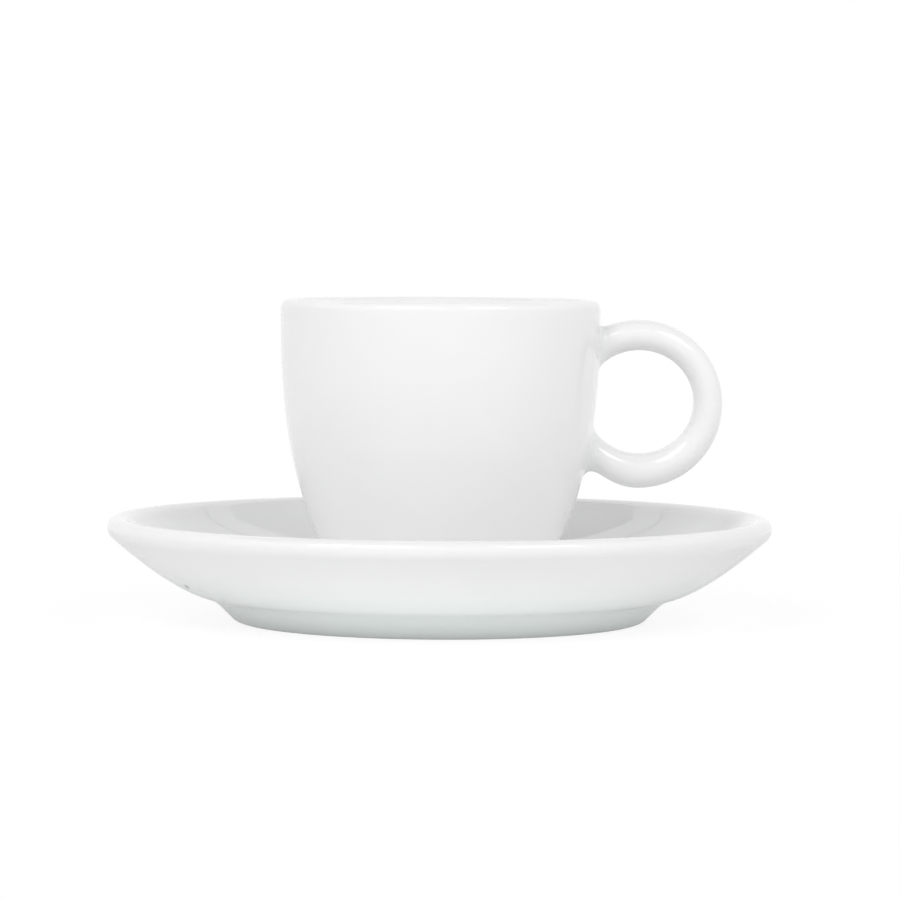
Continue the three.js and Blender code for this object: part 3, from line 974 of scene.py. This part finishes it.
def softbox(name, azimuth, elevation, distance, width, height, power):
    """A soft lamp aimed at the cup. Azimuth is from the camera's side, to the right, in degrees."""
    a, e = math.radians(azimuth), math.radians(elevation)
    away = Vector((math.sin(a) * math.cos(e), -math.cos(a) * math.cos(e), math.sin(e)))
    data = bpy.data.lights.new(name, "AREA")
    data.shape = "RECTANGLE"
    data.size, data.size_y, data.energy = width, height, power
    lamp = bpy.data.objects.new(name, data)
    lamp.location = LAMP_AIM + away * distance
    lamp.rotation_euler = (-away).to_track_quat("-Z", "Y").to_euler()
    lamp.visible_camera = False
    bpy.context.scene.collection.objects.link(lamp)


def studio_camera(studio):
    data = bpy.data.cameras.new("photo_camera")
    data.sensor_width, data.lens = SENSOR_WIDTH, studio.lens
    data.clip_start, data.clip_end = 0.01, 50.0
    camera = bpy.data.objects.new("photo_camera", data)
    bpy.context.scene.collection.objects.link(camera)
    camera.matrix_world = (
        Matrix.Translation((0, -studio.camera_distance, studio.camera_height))
        @ Matrix.Rotation(-studio.turn, 4, "Z")
        @ Matrix.Rotation(math.pi / 2 - studio.tilt, 4, "X")
        @ Matrix.Rotation(studio.roll, 4, "Z"))
    bpy.context.scene.camera = camera


class CROCKERY_OT_studio(bpy.types.Operator):
    """Make the pale floor, the soft light and the camera"""

    bl_idname = "crockery.studio"
    bl_label = "Studio"

    def execute(self, context):
        studio = context.scene.crockery.studio
        studio_floor(studio)
        studio_world(studio)
        softbox("left_softbox", azimuth=-31.5, elevation=45, distance=1.7,
                width=0.88, height=0.6, power=studio.key)
        softbox("right_softbox", azimuth=41.5, elevation=43, distance=1.7,
                width=0.7, height=0.6, power=studio.fill)
        studio_camera(studio)
        context.scene.view_settings.view_transform = "Standard"
        return {"FINISHED"}


class CROCKERY_PT_panel(bpy.types.Panel):
    """Settings of the set, and what makes its pieces"""

    bl_idname = "CROCKERY_PT_panel"
    bl_label = "Cappuccino Cup with Saucer"
    bl_space_type = "VIEW_3D"
    bl_region_type = "UI"
    bl_category = "Crockery"

    def draw(self, context):
        settings = context.scene.crockery
        for title, group in (
            ("Saucer", settings.saucer),
            ("Cup", settings.cup),
            ("Handle", settings.handle),
            ("Glaze", settings.glaze),
            ("Studio", settings.studio),
        ):
            box = self.layout.box()
            box.label(text=title)
            for name in group.__annotations__:
                box.prop(group, name)
        for operator in OPERATORS:
            self.layout.operator(operator.bl_idname)


OPERATORS = (CROCKERY_OT_saucer, CROCKERY_OT_cup_body, CROCKERY_OT_handle, CROCKERY_OT_studio)
CLASSES = (SaucerSizes, CupSizes, HandleSizes, GlazeColours, StudioSettings, CrockerySettings,
           *OPERATORS, CROCKERY_PT_panel)


def register():
    for item in CLASSES:
        bpy.utils.register_class(item)
    bpy.types.Scene.crockery = PointerProperty(type=CrockerySettings)


def unregister():
    del bpy.types.Scene.crockery
    for item in reversed(CLASSES):
        bpy.utils.unregister_class(item)


def main():
    register()
    bpy.ops.crockery.saucer()
    bpy.ops.crockery.cup_body()
    bpy.ops.crockery.handle()
    bpy.ops.crockery.studio()


if __name__ == "__main__":
    main()
